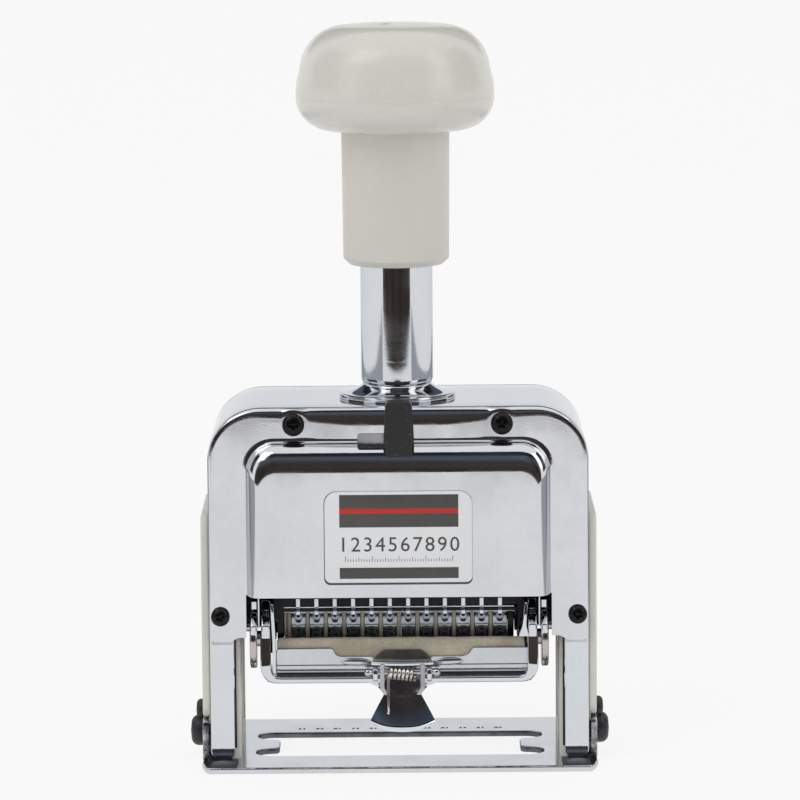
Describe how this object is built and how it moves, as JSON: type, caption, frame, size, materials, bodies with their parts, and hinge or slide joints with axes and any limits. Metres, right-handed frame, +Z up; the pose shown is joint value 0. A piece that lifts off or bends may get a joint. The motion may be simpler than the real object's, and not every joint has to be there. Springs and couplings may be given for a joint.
{
  "type": "numbering machine",
  "caption": "Hand numbering stamp: an ivory knob on a chromed tube presses a row of number wheels down through a steel base while the ink pad swings clear.",
  "frame": {"origin": "middle of the base plate's underside", "axes": "+Z up along the plunger, +X across the number wheels to the operator's right, -Y towards the operator"},
  "size_m": [0.0806, 0.045, 0.1403],
  "materials": {
    "chrome": "polished chrome plate, satin on top",
    "nickel": "bright nickel plate",
    "base_steel": "satin nickel-plated steel sheet",
    "ivory_plastic": "satin ivory moulding",
    "ivory_knob": "soft-gloss ivory moulding",
    "cream_plastic": "cream moulding",
    "black_plastic": "satin black moulding",
    "black_screw": "black oxide",
    "black_steel": "black oxide, satin",
    "bright_steel": "turned steel",
    "spring_steel": "bright spring steel",
    "wheel_steel": "hardened steel, ink in the hollows",
    "brass": "turned brass",
    "label": "printed aluminium foil",
    "felt": "cream wool felt"
  },
  "bodies": {
    "frame": {"base_plate": "base_steel", "outer_frame": "chrome", "front_cover": "nickel", "rear_cover": "nickel", "left_side_cover": "ivory_plastic", "right_side_cover": "ivory_plastic", "left_guide_channel": "ivory_plastic", "right_guide_channel": "ivory_plastic", "guide_tube": "chrome", "tube_collar": "chrome", "tube_lock_nut": "black_steel", "front_upper_screws": "black_screw", "front_lower_screws": "black_screw", "rear_cover_screws": "black_screw", "label_plate": "label", "carrier_pivots": "bright_steel", "return_spring": "spring_steel"},
    "mode_selector": {"mode_lever": "black_plastic", "selector_plate": "bright_steel"},
    "left_button": {"left_stop_button": "black_plastic"},
    "right_button": {"right_stop_button": "black_plastic"},
    "plunger": {"handle_knob": "ivory_knob", "handle_sleeve": "ivory_knob", "knob_insert": "brass", "plunger_rod": "bright_steel", "wheel_frame": "black_steel", "wheel_shaft": "bright_steel", "shaft_clips": "brass", "wheel_spacers": "cream_plastic", "detent_springs": "spring_steel", "detent_bars": "black_steel"},
    "pawl": {"pawl_carrier": "bright_steel", "drive_pawl": "bright_steel"},
    "pad_carrier": {"pad_bracket": "chrome", "pad_tray": "nickel", "ink_pad": "felt", "latch_pin": "bright_steel"},
    "latch": {"pad_latch": "nickel", "latch_spring": "spring_steel"},
    "wheel_01": {"number_wheel_01": "wheel_steel"},
    "wheel_02": {"number_wheel_02": "wheel_steel"},
    "wheel_03": {"number_wheel_03": "wheel_steel"},
    "wheel_04": {"number_wheel_04": "wheel_steel"},
    "wheel_05": {"number_wheel_05": "wheel_steel"},
    "wheel_06": {"number_wheel_06": "wheel_steel"},
    "wheel_07": {"number_wheel_07": "wheel_steel"},
    "wheel_08": {"number_wheel_08": "wheel_steel"},
    "wheel_09": {"number_wheel_09": "wheel_steel"},
    "wheel_10": {"number_wheel_10": "wheel_steel"},
    "wheel_11": {"number_wheel_11": "wheel_steel"},
    "wheel_12": {"number_wheel_12": "wheel_steel"}
  },
  "joints": [
    {"name": "mode_select", "type": "slide", "parent": "frame", "child": "mode_selector", "axis": [-1, 0, 0], "range_m": [0, 0.005]},
    {"name": "left_stop", "type": "slide", "parent": "frame", "child": "left_button", "axis": [1, 0, 0], "range_m": [0, 0.0015], "stiffness_N_per_m": 400, "springref_m": -0.001},
    {"name": "right_stop", "type": "slide", "parent": "frame", "child": "right_button", "axis": [-1, 0, 0], "range_m": [0, 0.0015], "stiffness_N_per_m": 400, "springref_m": -0.001},
    {"name": "plunger_press", "type": "slide", "parent": "frame", "child": "plunger", "axis": [0, 0, -1], "range_m": [0, 0.01835], "stiffness_N_per_m": 800, "springref_m": -0.01, "deforming": ["return_spring"]},
    {"name": "pad_swing", "type": "hinge", "parent": "frame", "child": "pad_carrier", "pos_m": [0, -0.0116, 0.024], "axis": [1, 0, 0], "range_deg": [-100.5, 0]},
    {"name": "latch_turn", "type": "hinge", "parent": "pad_carrier", "child": "latch", "pos_m": [0, -0.0164, 0.0182], "axis": [1, 0, 0], "range_deg": [0, 12], "stiffness_Nm_per_rad": 0.02, "springref_deg": -11.46},
    {"name": "pawl_rock", "type": "hinge", "parent": "plunger", "child": "pawl", "pos_m": [0, 0, 0.0271], "axis": [1, 0, 0], "range_deg": [0, 36.5]},
    {"name": "wheel_01_turn", "type": "hinge", "parent": "plunger", "child": "wheel_01", "pos_m": [-0.01925, 0, 0.0271], "axis": [1, 0, 0], "continuous": true},
    {"name": "wheel_02_turn", "type": "hinge", "parent": "plunger", "child": "wheel_02", "pos_m": [-0.01575, 0, 0.0271], "axis": [1, 0, 0], "continuous": true},
    {"name": "wheel_03_turn", "type": "hinge", "parent": "plunger", "child": "wheel_03", "pos_m": [-0.01225, 0, 0.0271], "axis": [1, 0, 0], "continuous": true},
    {"name": "wheel_04_turn", "type": "hinge", "parent": "plunger", "child": "wheel_04", "pos_m": [-0.00875, 0, 0.0271], "axis": [1, 0, 0], "continuous": true},
    {"name": "wheel_05_turn", "type": "hinge", "parent": "plunger", "child": "wheel_05", "pos_m": [-0.00525, 0, 0.0271], "axis": [1, 0, 0], "continuous": true},
    {"name": "wheel_06_turn", "type": "hinge", "parent": "plunger", "child": "wheel_06", "pos_m": [-0.00175, 0, 0.0271], "axis": [1, 0, 0], "continuous": true},
    {"name": "wheel_07_turn", "type": "hinge", "parent": "plunger", "child": "wheel_07", "pos_m": [0.00175, 0, 0.0271], "axis": [1, 0, 0], "continuous": true},
    {"name": "wheel_08_turn", "type": "hinge", "parent": "plunger", "child": "wheel_08", "pos_m": [0.00525, 0, 0.0271], "axis": [1, 0, 0], "continuous": true},
    {"name": "wheel_09_turn", "type": "hinge", "parent": "plunger", "child": "wheel_09", "pos_m": [0.00875, 0, 0.0271], "axis": [1, 0, 0], "continuous": true},
    {"name": "wheel_10_turn", "type": "hinge", "parent": "plunger", "child": "wheel_10", "pos_m": [0.01225, 0, 0.0271], "axis": [1, 0, 0], "continuous": true},
    {"name": "wheel_11_turn", "type": "hinge", "parent": "plunger", "child": "wheel_11", "pos_m": [0.01575, 0, 0.0271], "axis": [1, 0, 0], "continuous": true},
    {"name": "wheel_12_turn", "type": "hinge", "parent": "plunger", "child": "wheel_12", "pos_m": [0.01925, 0, 0.0271], "axis": [1, 0, 0], "continuous": true}
  ],
  "couplings": [
    {"joint": "pad_swing", "follows": "plunger_press", "rad_per_m": -95.113},
    {"joint": "pawl_rock", "follows": "plunger_press", "rad_per_m": 34.24}
  ]
}
